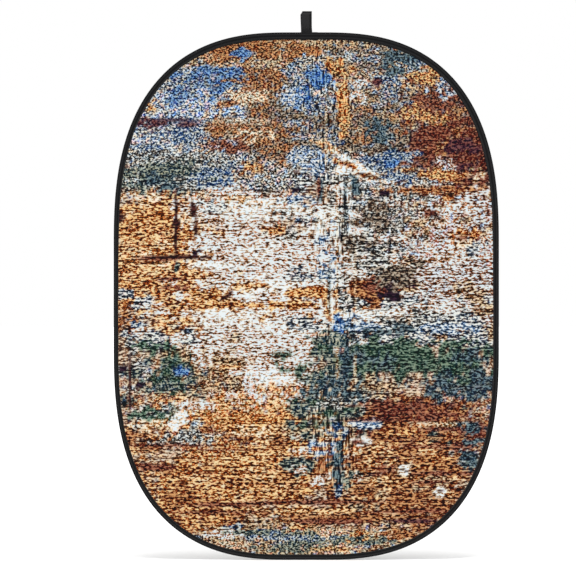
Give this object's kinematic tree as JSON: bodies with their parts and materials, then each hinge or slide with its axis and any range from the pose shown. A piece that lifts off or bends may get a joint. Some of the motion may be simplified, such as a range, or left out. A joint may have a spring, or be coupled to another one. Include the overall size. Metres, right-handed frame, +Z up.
{
  "type": "collapsible backdrop panel",
  "caption": "Pop-up photographic backdrop: printed cloth sewn over a spring-steel hoop with black binding and a webbing hanging loop; it folds over on itself to start its collapse.",
  "frame": {"origin": "middle of the flat run of the bottom edge, on the surface the panel stands on", "axes": "+Z up the panel, +X to the viewer's right, +Y out of the panel's back, so the printed face looks along -Y"},
  "size_m": [1.5, 0.0213, 2.138],
  "materials": {
    "printed_cloth": "matt polyester cloth with a printed, weathered rust pattern",
    "back_cloth": "matt polyester cloth, plain mottled grey",
    "binding_tape": "black woven tape",
    "webbing": "black woven webbing",
    "thread": "black sewing thread",
    "spring_steel": "blued spring steel band",
    "sleeve_steel": "plain pressed steel",
    "shrink_tube": "black shrink tube"
  },
  "bodies": {
    "upper_part": {"front_cloth_upper": "printed_cloth", "back_cloth_upper": "back_cloth", "binding_upper": "binding_tape", "hoop_upper": "spring_steel", "stitching_upper": "thread", "tape_lap": "binding_tape", "loop_tails": "webbing", "loop_tack": "thread"},
    "middle_part": {"front_cloth_middle": "printed_cloth", "back_cloth_middle": "back_cloth", "binding_middle": "binding_tape", "hoop_middle": "spring_steel", "stitching_middle": "thread"},
    "lower_part": {"front_cloth_lower": "printed_cloth", "back_cloth_lower": "back_cloth", "binding_lower": "binding_tape", "hoop_lower": "spring_steel", "stitching_lower": "thread", "hoop_sleeve": "sleeve_steel", "sleeve_wrap": "shrink_tube"},
    "loop": {"hang_loop": "webbing"}
  },
  "joints": [
    {"name": "upper_fold", "type": "hinge", "parent": "upper_part", "child": "middle_part", "pos_m": [0, 0, 1.45], "axis": [1, 0, 0], "range_deg": [-115, 115], "stiffness_Nm_per_rad": 4},
    {"name": "lower_fold", "type": "hinge", "parent": "middle_part", "child": "lower_part", "pos_m": [0, 0, 0.65], "axis": [1, 0, 0], "range_deg": [-115, 115], "stiffness_Nm_per_rad": 4},
    {"name": "loop_flop", "type": "hinge", "parent": "upper_part", "child": "loop", "pos_m": [0, 0.0084, 2.062], "axis": [1, 0, 0], "range_deg": [-90, 90], "stiffness_Nm_per_rad": 0.01}
  ],
  "couplings": [
    {"joint": "lower_fold", "follows": "upper_fold", "ratio": 1}
  ]
}
